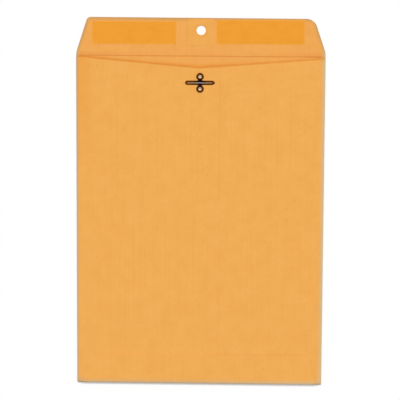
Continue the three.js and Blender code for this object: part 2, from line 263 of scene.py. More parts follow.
def pick(kind, test):
    """Select vertices, edges with both ends, or faces with their middle, where the test passes."""
    bpy.ops.mesh.select_mode(type={"verts": "VERT", "edges": "EDGE", "faces": "FACE"}[kind])
    bpy.ops.mesh.select_all(action="DESELECT")
    mesh = bmesh.from_edit_mesh(bpy.context.object.data)
    for element in getattr(mesh, kind):
        if kind == "verts":
            chosen = test(element.co)
        elif kind == "edges":
            chosen = all(test(vertex.co) for vertex in element.verts)
        else:
            chosen = test(element.calc_center_median())
        if chosen:
            element.select_set(True)
    bmesh.update_edit_mesh(bpy.context.object.data)


def near(value, target, reach=TINY):
    return abs(value - target) < reach


def start_piece(name, primitive, **sizes):
    """Add a primitive at the origin, name it and leave it in edit mode, all selected."""
    bpy.ops.object.select_all(action="DESELECT")
    primitive(**sizes)
    piece = bpy.context.object
    piece.name = name
    piece.data.name = name
    edit_all()
    return piece


def resize(x, y, z, centre=(0, 0, 0)):
    bpy.ops.transform.resize(value=(x, y, z), center_override=centre)


def move(x, y, z):
    bpy.ops.transform.translate(value=(x, y, z))


def turn(amount):
    """Turn what is selected about the middle of the scene."""
    bpy.ops.transform.rotate(value=amount, orient_axis="Z", center_override=(0, 0, 0))


def extrude(rise):
    """Extrude the selected faces upwards."""
    bpy.ops.mesh.extrude_region_move(TRANSFORM_OT_translate={"value": (0, 0, rise)})


def start_sheet(name, left, right, bottom, top, level):
    """Start a flat sheet between two corners."""
    sheet = start_piece(name, bpy.ops.mesh.primitive_plane_add, size=1)
    resize(right - left, top - bottom, 1)
    move((left + right) / 2, (bottom + top) / 2, level)
    return sheet


def cut(point, normal, clear=False):
    """Cut the whole mesh along a plane, and clear what lies beyond it if asked."""
    select_all()
    bpy.ops.mesh.bisect(
        plane_co=point, plane_no=normal, clear_outer=clear, threshold=TINY / 100,
    )


def cut_at_x(x):
    cut((x, 0, 0), (1, 0, 0))


def cut_at_y(y):
    cut((0, y, 0), (0, 1, 0))


def cut_rows(cut_at, low, high, spacing):
    """Cut rows that are evenly spaced between two places."""
    rows = max(1, round((high - low) / spacing))
    for row in range(1, rows):
        cut_at(low + (high - low) * row / rows)


def cut_grid(low, high, spacing):
    """Cut a grid between two corners."""
    cut_rows(cut_at_x, low.x, high.x, spacing)
    cut_rows(cut_at_y, low.y, high.y, spacing)


def round_corner(x, y, radius, slant, segments=8):
    """Round the corner of a flat outline that lies close to a place and turns by an angle."""
    pick("verts", lambda place: math.hypot(place.x - x, place.y - y) < 0.05 * MM)
    reach = radius * math.tan(slant / 2)
    bpy.ops.mesh.bevel(offset=reach, affect="VERTICES", segments=segments, profile=0.5)


def round_corners(left, right, bottom, top, radius):
    """Round the four corners of a small sheet."""
    for x in (left, right):
        for y in (bottom, top):
            round_corner(x, y, radius, math.pi / 2, 5)


def delete_faces(test):
    pick("faces", test)
    bpy.ops.mesh.delete(type="FACE")


def inset_border(width):
    """Run a narrow border along the outline of a flat sheet."""
    bpy.ops.mesh.select_mode(type="FACE")
    select_all()
    bpy.ops.mesh.inset(thickness=width, use_boundary=True, use_even_offset=True)


def merge_flat_faces():
    select_all()
    bpy.ops.mesh.dissolve_limited(angle_limit=math.radians(1))


def apply_modifier(piece, kind, **settings):
    """Finish a piece with a modifier and apply it."""
    modifier = piece.modifiers.new(kind.title(), kind)
    for name, value in settings.items():
        setattr(modifier, name, value)
    bpy.ops.object.modifier_apply(modifier=modifier.name)


def leave_edit():
    """Close small gaps, point the faces outwards and go back to object mode."""
    select_all()
    bpy.ops.mesh.remove_doubles(threshold=TINY)
    bpy.ops.mesh.normals_make_consistent(inside=False)
    stop_edit()


def thicken(piece, thickness):
    """Give an open sheet its thickness, half of it on each side."""
    apply_modifier(piece, "SOLIDIFY", thickness=thickness, offset=0.0, use_even_offset=True)


def combine(piece, other, operation):
    """Cut or join a piece with another, which is used up."""
    make_active(piece)
    apply_modifier(piece, "BOOLEAN", object=other, operation=operation, solver="EXACT")
    used = other.data
    bpy.data.objects.remove(other)
    bpy.data.meshes.remove(used)


def punch(piece, x, y, radius):
    """Punch a round hole straight through a piece."""
    cylinder = bpy.ops.mesh.primitive_cylinder_add
    cutter = start_piece("punch", cylinder, vertices=64, radius=radius, depth=0.1)
    move(x, y, 0)
    stop_edit()
    combine(piece, cutter, "DIFFERENCE")


def smooth_share(value, start, end):
    """0 at the start and 1 at the end, with a smooth way between."""
    share_of_way = min(1.0, max(0.0, (value - start) / (end - start)))
    return share_of_way * share_of_way * (3 - 2 * share_of_way)


def swell(piece, height, mask):
    """Lift a sheet in soft clouds, as far as its mask allows."""
    group = piece.vertex_groups.new(name="lift")
    for vertex in piece.data.vertices:
        group.add([vertex.index], mask(vertex.co), "REPLACE")
    name = "sheet clouds"
    clouds = bpy.data.textures.get(name) or bpy.data.textures.new(name, "CLOUDS")
    clouds.noise_scale = 70 * MM
    clouds.noise_depth = 1
    apply_modifier(
        piece, "DISPLACE", texture=clouds, direction="Z", strength=height, mid_level=0.0,
        vertex_group="lift", texture_coords="LOCAL",
    )
    piece.vertex_groups.clear()


def finish_piece(piece, material, sharp=35, wear=None, inner=None, fade=None, mouth=None):
    """Smooth a piece and give it its material, slot and attributes.

    The functions tell how dark a place on a steep face is painted, partly as scuffing and partly as
    painted shade, whether a face with its normal lies on the inner side, how far a place lies in the
    edge band, which is painted shade and light on paper and a thin border on gum, and how deep it
    lies in painted shade, as in the mouth.
    """
    make_active(piece)
    bpy.ops.object.shade_smooth_by_angle(angle=math.radians(sharp))
    mesh = piece.data
    mesh.attributes.new("rest_place", "FLOAT_VECTOR", "POINT")
    names = ("edge_wear", "inner_side", "edge_fade", "mouth_shade")
    for name in names:
        mesh.attributes.new(name, "FLOAT", "POINT")
    places = mesh.attributes["rest_place"].data
    wear_and_shade, inside, faded, shaded = (mesh.attributes[name].data for name in names)
    for vertex in mesh.vertices:
        places[vertex.index].vector = vertex.co
        if fade:
            faded[vertex.index].value = fade(vertex.co)
        if mouth:
            shaded[vertex.index].value = mouth(vertex.co)
    steep = 0.4
    for polygon in mesh.polygons:
        for index in polygon.vertices:
            place = mesh.vertices[index].co
            if abs(polygon.normal.z) < steep:
                wear_and_shade[index].value = wear(place) if wear else 0.0
            elif inner and inner(place, polygon.normal):
                inside[index].value = 1.0
    mesh.materials.clear()
    mesh.materials.append(material)


# Nodes, and the node groups that the materials share

COLUMN = 190
ROW = 170


def spaced(values):
    """Turn keywords into the names of sockets, which have spaces."""
    return {name.replace("_", " "): value for name, value in values.items()}


class Nodes:
    """Adds nodes to a tree, each to the right of the nodes that feed it."""

    def __init__(self, tree):
        self.tree = tree
        self.rows = {}

    def add(self, kind, inputs=None, **settings):
        """Add a node. An input is a value, or the socket that feeds it."""
        node = self.tree.nodes.new(kind)
        for name, value in settings.items():
            setattr(node, name, value)
        x = 0
        for name, value in (inputs or {}).items():
            if isinstance(value, bpy.types.NodeSocket):
                self.tree.links.new(value, node.inputs[name])
                x = max(x, value.node.location.x + COLUMN)
            else:
                node.inputs[name].default_value = value
        row = self.rows.get(x, 0)
        node.location = (x, -row * ROW)
        self.rows[x] = row + 1
        return node

    def math(self, operation, *values):
        return self.add("ShaderNodeMath", dict(enumerate(values)), operation=operation).outputs[0]

    def times(self, first, second):
        return self.math("MULTIPLY", first, second)

    def weigh(self, *pairs):
        """Add up values, each times its weight."""
        total = 0.0
        for value, weight in pairs:
            total = self.math("MULTIPLY_ADD", value, weight, total)
        return total

    def remap(self, value, low, high, start=0.0, end=1.0, interpolation_type="SMOOTHSTEP"):
        """Map a value from one range to another."""
        node = self.add(
            "ShaderNodeMapRange",
            {"Value": value, "From Min": low, "From Max": high, "To Min": start, "To Max": end},
            interpolation_type=interpolation_type,
        )
        return node.outputs["Result"]

    def between(self, value, start, end, low=0, high=1):
        """Go evenly from a start to an end while a value goes from low to high."""
        return self.remap(value, low, high, start, end, "LINEAR")

    def mix(self, factor, first, second, blend_type="MIX"):
        """Mix two colours, given as sockets or as three numbers."""
        colours = [
            value if isinstance(value, bpy.types.NodeSocket) else (*value, 1.0)
            for value in (first, second)
        ]
        node = self.add(
            "ShaderNodeMix", {0: factor, 6: colours[0], 7: colours[1]},
            data_type="RGBA", blend_type=blend_type,
        )
        return node.outputs[2]

    def tint(self, factor, base, filter_colour):
        """Multiply a colour by a filter's colour, as far as the factor says."""
        return self.mix(1.0, base, self.mix(factor, (1, 1, 1), filter_colour), "MULTIPLY")

    def noise(self, vector, scale, detail, roughness):
        node = self.add(
            "ShaderNodeTexNoise",
            {"Vector": vector, "Scale": scale, "Detail": detail, "Roughness": roughness},
        )
        return node.outputs["Fac"]

    def cells(self, vector, scale):
        return self.add("ShaderNodeTexVoronoi", {"Vector": vector, "Scale": scale}).outputs

    def stretch(self, vector, *factors):
        node = self.add("ShaderNodeVectorMath", {0: vector, 1: factors}, operation="MULTIPLY")
        return node.outputs[0]

    def parts(self, vector):
        return self.add("ShaderNodeSeparateXYZ", {0: vector}).outputs

    def attribute(self, name, output="Fac"):
        return self.add("ShaderNodeAttribute", attribute_name=name).outputs[output]

    def rest_place(self):
        """The place of a point in the flat, open envelope, which stays with it when it bends."""
        return self.attribute("rest_place", "Vector")

    def bump(self, height, distance, strength=1.0, **below):
        """Turn a height into a normal, on top of the normal below it if one is given."""
        inputs = {"Height": height, "Distance": distance, "Strength": strength, **below}
        return self.add("ShaderNodeBump", inputs).outputs["Normal"]

    def group(self, builder, **inputs):
        """Use a shared group, which is built the first time that it is asked for."""
        name = builder.__name__.replace("_", " ").title()
        tree = bpy.data.node_groups.get(name) or builder(name)
        return self.add("ShaderNodeGroup", spaced(inputs), node_tree=tree).outputs

    def feed(self, shader, output, **sockets):
        """Feed a shader, and put it and the output to the right of all other nodes."""
        for name, value in spaced(sockets).items():
            self.tree.links.new(value, shader.inputs[name])
        shader.location = (max(self.rows) + COLUMN, 0)
        output.location = (shader.location.x + 2 * COLUMN, 0)


def start_group(name, **inputs):
    """Start a node group. An input without a default takes a vector."""
    tree = bpy.data.node_groups.new(name, "ShaderNodeTree")
    for label, default in spaced(inputs).items():
        kind = "NodeSocketVector" if default is None else "NodeSocketFloat"
        socket = tree.interface.new_socket(label, in_out="INPUT", socket_type=kind)
        if default is not None:
            socket.default_value = default
    nodes = Nodes(tree)
    return nodes, nodes.add("NodeGroupInput").outputs


def end_group(nodes, **outputs):
    """Put out the values that a group has worked out."""
    for label in spaced(outputs):
        nodes.tree.interface.new_socket(label, in_out="OUTPUT", socket_type="NodeSocketFloat")
    nodes.add("NodeGroupOutput", spaced(outputs))
    return nodes.tree


def paper_grain(name):
    """Fibres, cloudy formation, streaks along the web and specks of an uncoated kraft paper."""
    nodes, given = start_group(
        name, Vector=None, Fibre_Scale=1900.0, Cloud_Scale=75.0, Streak_Scale=700.0,
    )
    along_web = nodes.stretch(given["Vector"], 1, 0.3, 1)
    long_web = nodes.stretch(given["Vector"], 1, 0.012, 1)
    fibres = nodes.noise(along_web, given["Fibre Scale"], detail=5, roughness=0.62)
    clouds = nodes.noise(given["Vector"], given["Cloud Scale"], detail=4, roughness=0.6)
    streaks = nodes.noise(long_web, given["Streak Scale"], detail=2, roughness=0.5)
    flecks = nodes.cells(along_web, scale=420.0)
    dots = nodes.remap(flecks["Distance"], 0.06, 0.16, 1, 0)
    draw = nodes.add("ShaderNodeSeparateColor", {"Color": flecks["Color"]}).outputs[0]
    few = nodes.math("GREATER_THAN", draw, 0.72)
    shade = nodes.weigh((clouds, 0.27), (fibres, 0.28), (streaks, 0.14))
    return end_group(
        nodes,
        Shade=nodes.remap(shade, 0.185, 0.505),
        Specks=nodes.times(dots, few),
        Height=nodes.weigh((fibres, 0.75), (streaks, 0.25)),
    )


def soft_band(name):
    """Mask of a band round a value, with a soft edge."""
    nodes, given = start_group(name, Value=0.0, Middle=0.0, Half_Width=MM, Feather=MM)
    away = nodes.math("ABSOLUTE", nodes.math("SUBTRACT", given["Value"], given["Middle"]))
    outside = nodes.math("ADD", given["Half Width"], given["Feather"])
    return end_group(nodes, Mask=nodes.remap(away, given["Half Width"], outside, 1, 0))


def patchy_mask(name):
    """Patches of uneven cover, for darkened edges, gum and glue."""
    nodes, given = start_group(name, Vector=None, Scale=100.0, Low=0.4, High=0.6)
    patches = nodes.noise(given["Vector"], given["Scale"], detail=4, roughness=0.6)
    return end_group(nodes, Mask=nodes.remap(patches, given["Low"], given["High"]))


# Materials

def start_material(name, **constants):
    """A material with constants on the shader's own sockets. Returns it and its nodes."""
    material = bpy.data.materials.new(name)
    material.use_nodes = True
    shader = material.node_tree.nodes["Principled BSDF"]
    for socket, value in spaced(constants).items():
        shader.inputs[socket].default_value = value
    return material, Nodes(material.node_tree)


def end_material(material, nodes, **sockets):
    """Feed the shader of a material."""
    own = material.node_tree.nodes
    nodes.feed(own["Principled BSDF"], own["Material Output"], **sockets)
    return material


def crease_mask(nodes, x, y, inner, settings):
    """The score line on the inner face, and painted shade beyond it that grows towards both sides."""
    square = nodes.math("MULTIPLY_ADD", x, score_slope(settings), y)
    line = nodes.group(
        soft_band, Value=square, Middle=score_y, Half_Width=0.2 * MM, Feather=0.6 * MM,
    )["Mask"]
    crease_shade = nodes.group(
        soft_band, Value=square, Middle=score_y + 1.4 * MM, Half_Width=0.4 * MM, Feather=3 * MM,
    )["Mask"]
    pressed = nodes.remap(x, 0.75 * half_width, half_width, 0.62, 0.95)
    towards_sides = nodes.remap(nodes.math("ABSOLUTE", x), 0.5 * half_width, half_width)
    line = nodes.times(line, pressed)
    crease_shade = nodes.times(crease_shade, nodes.between(towards_sides, 0.05, 0.24))
    return nodes.times(nodes.math("MAXIMUM", line, crease_shade), inner)


def fading_colour(nodes, x, y, settings):
    """Colour of the edge band: painted shade, paler painted light towards the right, and browner on the
    flap.
    """
    on_right = nodes.remap(x, 0, half_width)
    on_flap = nodes.remap(y, score_y, score_y + 10 * MM)
    on_body = nodes.mix(on_right, settings.faded, settings.faded_right)
    return nodes.mix(on_flap, on_body, settings.faded_flap)


def paper_material(name, light, dark, settings):
    """Uncoated kraft paper: fibres, streaks, specks, cockle, scuffing, and painted shade and light along
    edges and folds.
    """
    if name in bpy.data.materials:
        return bpy.data.materials[name]
    material, nodes = start_material(
        name, Specular_IOR_Level=0.22, Sheen_Weight=0.04, Sheen_Roughness=0.5,
    )
    place = nodes.rest_place()
    x, y, _ = nodes.parts(place)
    inner = nodes.attribute("inner_side")
    grain = nodes.group(paper_grain, Vector=place)
    speck = [0.5 * value for value in dark]
    look = nodes.mix(grain["Shade"], dark, light)
    look = nodes.mix(nodes.times(grain["Specks"], 0.35), look, speck)
    look = nodes.tint(inner, look, settings.inner_side)
    # The score line, and painted shade just beyond it
    look = nodes.mix(crease_mask(nodes, x, y, inner, settings), look, settings.creased)
    # Band along edges: painted shade on the left and at the bottom, painted light on the right, browner
    # along the flap
    uneven = nodes.between(grain["Shade"], 0.95, 0.8)
    faded = nodes.times(nodes.attribute("edge_fade"), uneven)
    look = nodes.mix(faded, look, fading_colour(nodes, x, y, settings))
    # Edges darkened partly as scuffing and partly as painted shade, for folds turned from the light and
    # the throat over the mouth
    patchy_edges = nodes.group(patchy_mask, Vector=place, Scale=260.0, Low=0.2, High=0.65)["Mask"]
    wear_and_shade = nodes.times(nodes.attribute("edge_wear"), nodes.between(patchy_edges, 0.45, 0.85))
    look = nodes.mix(wear_and_shade, look, settings.worn_edge)
    look = nodes.tint(nodes.attribute("mouth_shade"), look, settings.mouth_shade)
    waves = nodes.noise(place, scale=38.0, detail=2, roughness=0.4)
    cockle = nodes.bump(waves, distance=0.22 * MM)
    return end_material(
        material, nodes,
        Base_Color=look,
        Roughness=nodes.between(grain["Shade"], 0.9, 0.74),
        Normal=nodes.bump(grain["Height"], distance=0.022 * MM, strength=0.9, Normal=cockle),
    )


def kraft_material(settings):
    return paper_material("kraft paper", settings.kraft, settings.kraft_dark, settings)


def gum_material(settings):
    """Dried gum: patchy orange film with a soft shine, fine ripples and a thin border."""
    material, nodes = start_material(
        "seal gum", Specular_IOR_Level=0.25, Coat_Weight=0.06, Coat_Roughness=0.35,
    )
    place = nodes.rest_place()
    patches = nodes.group(patchy_mask, Vector=place, Scale=85.0, Low=0.3, High=0.7)["Mask"]
    swept = nodes.stretch(place, 0.2, 1, 1)
    strokes = nodes.noise(swept, scale=420.0, detail=4, roughness=0.6)
    low, high = 0.3, 0.7
    cover = nodes.times(patches, nodes.remap(strokes, low, high))
    film = nodes.mix(cover, settings.gum, settings.gum_dark)
    thin = nodes.times(nodes.attribute("edge_fade"), nodes.between(strokes, 0.8, 0.45, low, high))
    bubbles = nodes.cells(place, scale=700.0)["Distance"]
    ripples = nodes.bump(strokes, distance=0.02 * MM)
    return end_material(
        material, nodes,
        Base_Color=nodes.mix(thin, film, settings.patch),
        Roughness=nodes.between(strokes, 0.34, 0.55, low, high),
        Normal=nodes.bump(bubbles, distance=0.012 * MM, strength=0.7, Normal=ripples),
    )


def glue_material(settings):
    """Dried paste between the sheets, streaked by the wheel that laid it."""
    material, nodes = start_material("dried glue", Specular_IOR_Level=0.4)
    place = nodes.add("ShaderNodeTexCoord").outputs["Object"]
    wheeled = nodes.stretch(place, 1, 0.05, 1)
    streaks = nodes.noise(wheeled, scale=900.0, detail=3, roughness=0.6)
    patches = nodes.group(patchy_mask, Vector=place, Scale=120.0, Low=0.35, High=0.65)["Mask"]
    thin = [0.72 * value for value in settings.glue]
    return end_material(
        material, nodes,
        Base_Color=nodes.mix(nodes.times(streaks, patches), thin, settings.glue),
        Roughness=nodes.between(patches, 0.4, 0.62),
        Normal=nodes.bump(streaks, distance=0.01 * MM),
    )


def crown_mask(nodes, x, y, wobble, settings):
    """A painted highlight: a wavering line along the crown of the bar, which stops short of the tips."""
    ridge_y = nodes.math("MULTIPLY_ADD", nodes.math("SUBTRACT", wobble, 0.5), 0.5 * MM, y)
    ridge = nodes.group(
        soft_band, Value=ridge_y, Middle=-0.15 * MM, Half_Width=0.15 * MM, Feather=0.42 * MM,
    )["Mask"]
    end = 1.8 * MM
    whole = right_prong_high.x - left_prong_low.x
    run = nodes.group(
        soft_band, Value=x, Middle=(settings.left_tip - settings.right_tip) / 2,
        Half_Width=(whole - settings.left_tip - settings.right_tip - end) / 2, Feather=end,
    )["Mask"]
    return nodes.times(ridge, run)


def bore_mask(nodes, x, above, settings):
    """The inside of both eyelets, where a pale highlight is painted."""
    across = nodes.math("SUBTRACT", above, eyelet_offset)
    flat = nodes.add("ShaderNodeCombineXYZ", {0: x, 1: across}).outputs[0]
    radius = nodes.add("ShaderNodeVectorMath", {0: flat}, operation="LENGTH").outputs["Value"]
    bore = settings.bore_radius
    return nodes.remap(radius, bore - 0.6 * MM, bore - 0.2 * MM, 1, 0)


def clasp_material(settings):
    """Steel with painted reflections and shade: a painted highlight along the bar, near-black necks,
    brown rings, red-brown tips and a pale painted highlight inside the eyelets.
    """
    if "clasp steel" in bpy.data.materials:
        return bpy.data.materials["clasp steel"]
    material, nodes = start_material("clasp steel", Metallic=1.0)
    centre = (-clasp_x, -clasp_y, -clasp_level)
    mapping = nodes.add("ShaderNodeMapping", {"Vector": nodes.rest_place(), "Location": centre})
    centred = mapping.outputs[0]
    x, y, _ = nodes.parts(centred)
    beside = nodes.math("ABSOLUTE", x)
    above = nodes.math("ABSOLUTE", y)
    along_bar = nodes.stretch(centred, 0.35, 1, 1)
    wobble = nodes.noise(along_bar, scale=1300.0, detail=4, roughness=0.6)
    middle = nodes.group(soft_band, Value=x, Half_Width=1.6 * MM, Feather=3.5 * MM)["Mask"]
    edge = bar_width / 2
    towards_tip = nodes.remap(beside, 2 * MM, 9 * MM)
    towards_ring = nodes.remap(above, edge + 0.5 * MM, edge + 2.2 * MM)
    # Painted shade and dark reflections, red-brown towards the tips and brown on the rings
    tarnish = nodes.mix(towards_tip, settings.tarnish, settings.tarnish_ends)
    tarnish = nodes.mix(towards_ring, tarnish, settings.tarnish_rings)
    # Painted highlight along the crown, cooler in the middle of the bar
    crown = nodes.mix(middle, settings.crown, settings.crown_middle)
    look = nodes.mix(crown_mask(nodes, x, y, wobble, settings), tarnish, crown)
    # Painted highlight inside the eyelets
    look = nodes.mix(bore_mask(nodes, x, above, settings), look, settings.bright)
    brushed = nodes.stretch(centred, 0.12, 1, 1)
    scratches = nodes.noise(brushed, scale=6000.0, detail=3, roughness=0.6)
    return end_material(
        material, nodes,
        Base_Color=look,
        Roughness=nodes.between(wobble, 0.3, 0.5, 0.3, 0.7),
        Normal=nodes.bump(scratches, distance=0.008 * MM),
    )


# Pieces

# How dark an edge is painted, from 0 to 1: partly scuffing, and partly painted shade where a fold turns
# from the light or an edge stands over a gap
CUT_WEAR_AND_SHADE = 0.5
FOLD_WEAR_AND_SHADE = 0.3
SEAM_WEAR_AND_SHADE = 0.08

# Shares of the band of painted shade and light at which rows are cut, so that it can fade over them
BAND_ROWS = (0.5, 0.75, 1)


class EnvelopeOperator:
    """What the operators share"""

    bl_options = {"REGISTER", "UNDO"}

    def settings(self, context):
        return context.scene.kraft_envelope


def throat_height(x, settings):
    """Height of the cut edge of the back sheets at a place across the envelope."""
    on_left = x < settings.throat_x
    corner_x = -half_width if on_left else half_width
    point_y = score_y - settings.throat_drop
    rise = (left_throat_y if on_left else right_throat_y) - point_y
    return point_y + rise * (x - settings.throat_x) / (corner_x - settings.throat_x)


def fold_outer_radius(settings):
    return settings.fold_radius + paper


def score_slope(settings):
    """How fast the score line falls towards the right."""
    return settings.score_skew / (2 * half_width)


def fade_side(place, settings):
    """How far a place beside a side fold lies in painted shade on the left and painted light on the
    right. The band reaches further on the right.
    """
    reach = settings.faded_far if place.x > 0 else settings.faded_reach
    return 1 - smooth_share(half_width - abs(place.x), 0, reach)


def fade_bottom(place, settings):
    """How far a place above the bottom edge lies in the band of painted shade, which is paler towards
    the right.
    """
    return 1 - smooth_share(place.y - bottom_edge_y, 0, settings.faded_far)


def lift_flap_piece(piece, settings):
    """Lift a piece of the flap just as the flap itself lifts, from close to the score line."""
    start_y = score_y + 4 * MM
    swell(piece, settings.flap_curl, lambda place: smooth_share(place.y, start_y, flap_high.y))


def hole_height(settings):
    """Height of the middle of the punched hole on the flap."""
    return flap_high.y - settings.hole_to_edge


def punch_hole(piece, settings):
    """Punch the hole for the clasp through a piece of the flap."""
    punch(piece, hole_x, hole_height(settings), settings.hole_diameter / 2)


def beyond_hole(place, settings):
    """How far a place lies from the edge of the punched hole."""
    away = math.hypot(place.x - hole_x, place.y - hole_height(settings))
    return away - settings.hole_diameter / 2


class ENVELOPE_OT_front_sheet(EnvelopeOperator, Operator):
    """Model the address side and the seal flap as one creased sheet with a punched hole"""

    bl_idname = "kraft_envelope.front_sheet"
    bl_label = "Front Sheet and Seal Flap"

    def execute(self, context):
        settings = self.settings(context).paper
        sheet = start_sheet(
            "front_sheet", -half_width, half_width, bottom_edge_y, flap_high.y, paper / 2,
        )
        self.shape_flap(settings)
        inset_border(0.75 * settings.faded_far)
        inset_border(settings.border)
        self.cut_up(settings)
        self.notch_for_folds(settings)
        leave_edit()
        thicken(sheet, paper)
        self.press_crease(settings)
        punch_hole(sheet, settings)
        lift_flap_piece(sheet, settings)
        finish_piece(
            sheet, kraft_material(settings),
            wear=lambda place: CUT_WEAR_AND_SHADE if beyond_hole(place, settings) > TINY else 0,
            inner=lambda place, normal: normal.z > 0,
            fade=lambda place: self.fade_edges(place, settings),
            mouth=lambda place: self.shade_mouth(place, settings),
        )
        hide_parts("front_panel", "seal_flap")
        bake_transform(sheet)
        return {"FINISHED"}

    def shape_flap(self, settings):
        """Slant the sides of the flap and round its corners."""
        shoulder_y = score_y + settings.flap_shoulder
        rise = flap_high.y - shoulder_y
        tapers = {-1: settings.left_taper, 1: settings.right_taper}
        slants = {side: math.atan(taper / rise) for side, taper in tapers.items()}
        for side, taper in tapers.items():
            cut((side * half_width, shoulder_y, 0), (side * rise, taper, 0), clear=True)
        left_x = tapers[-1] - half_width
        right_x = half_width - tapers[1]
        cut((left_x, flap_high.y, 0), (settings.flap_skew, right_x - left_x, 0), clear=True)
        right_x += settings.flap_skew * math.tan(slants[1])
        right_y = self.flap_edge_y(right_x, settings)
        for side, slant in slants.items():
            round_corner(side * half_width, shoulder_y, settings.shoulder_radius, slant)
        square = math.pi / 2
        round_corner(left_x, flap_high.y, settings.left_corner_radius, square - slants[-1])
        round_corner(right_x, right_y, settings.right_corner_radius, square - slants[1])

    def cut_up(self, settings):
        """Cut rows into the sheet, finer on the flap and in the mouth, finest where it bends."""
        cut_rows(cut_at_x, -half_width, half_width, settings.grid)
        cut_rows(cut_at_y, bottom_edge_y, score_y, settings.grid)
        cut_rows(cut_at_y, score_y, flap_high.y, settings.grid / 2)
        mouth_y = score_y - settings.throat_drop - settings.mouth_reach
        cut_rows(cut_at_y, mouth_y, score_y, settings.mouth_reach / 4)
        reach = settings.bend_reach + settings.score_skew / 2
        rows = 16
        for row in range(rows + 1):
            y = score_y + reach * (2 * row / rows - 1)
            cut((0, y, 0), (score_slope(settings), 1, 0))

    def notch_for_folds(self, settings):
        """Take out what the side folds and the bottom fold carry on."""
        inner = half_width - fold_outer_radius(settings)
        for side in (-1, 1):
            cut_at_x(side * inner)
            cut_at_x(side * bottom_flap_half)
        left_top = throat_height(left_low.x, settings)
        right_top = throat_height(right_high.x, settings)
        for y in (left_top, right_top, panel_bottom_y):
            cut_at_y(y)

        def beside(place):
            return abs(place.x) > inner and place.y < (right_top if place.x > 0 else left_top)

        def under(place):
            return abs(place.x) < bottom_flap_half and place.y < panel_bottom_y

        delete_faces(beside)
        delete_faces(under)

    def press_crease(self, settings):
        """Press the score line into the upper face."""
        slope = score_slope(settings)

        def on_line(place):
            return near(place.y + slope * place.x, score_y) and place.z > paper / 2

        bpy.ops.object.mode_set(mode="EDIT")
        pick("verts", on_line)
        move(0, 0, -settings.crease_depth)
        stop_edit()

    def flap_edge_y(self, x, settings):
        """Height of the free edge of the flap, which runs lower towards the right."""
        left_x = settings.left_taper - half_width
        right_x = half_width - settings.right_taper
        return flap_high.y - settings.flap_skew * (x - left_x) / (right_x - left_x)

    def fade_edges(self, place, settings):
        """How far the sheet lies in the band beside its edges: painted shade and light by the folds and
        the bottom, browner on the flap. The band along the free edge is a bit wider.
        """
        shoulder_y = score_y + settings.flap_shoulder
        rise = flap_high.y - shoulder_y
        taper = settings.right_taper if place.x > 0 else settings.left_taper
        inwards = rise * (half_width - abs(place.x)) - taper * (place.y - shoulder_y)
        from_slant = inwards / math.hypot(rise, taper)
        from_top = self.flap_edge_y(place.x, settings) - place.y
        cut_edges = 1 - smooth_share(min(from_slant, 0.8 * from_top), 0, settings.faded_reach)
        return max(cut_edges, fade_side(place, settings), fade_bottom(place, settings))

    def shade_mouth(self, place, settings):
        """How deep a point of the inner face lies in the shade above the throat.

        The shade is narrower at both sides of the throat, and lighter on the right.
        """
        line_y = score_y - score_slope(settings) * place.x
        side_x = 50 * MM
        inside = smooth_share(place.y, line_y + TINY, line_y - 0.4 * MM)
        strength = 1 - 0.45 * smooth_share(place.x, 0, side_x)
        narrower = 1 - 0.5 * smooth_share(abs(place.x), 5 * MM, side_x)
        above = place.y - throat_height(place.x, settings)
        return inside * strength * (1 - smooth_share(above, 0, settings.mouth_reach * narrower))


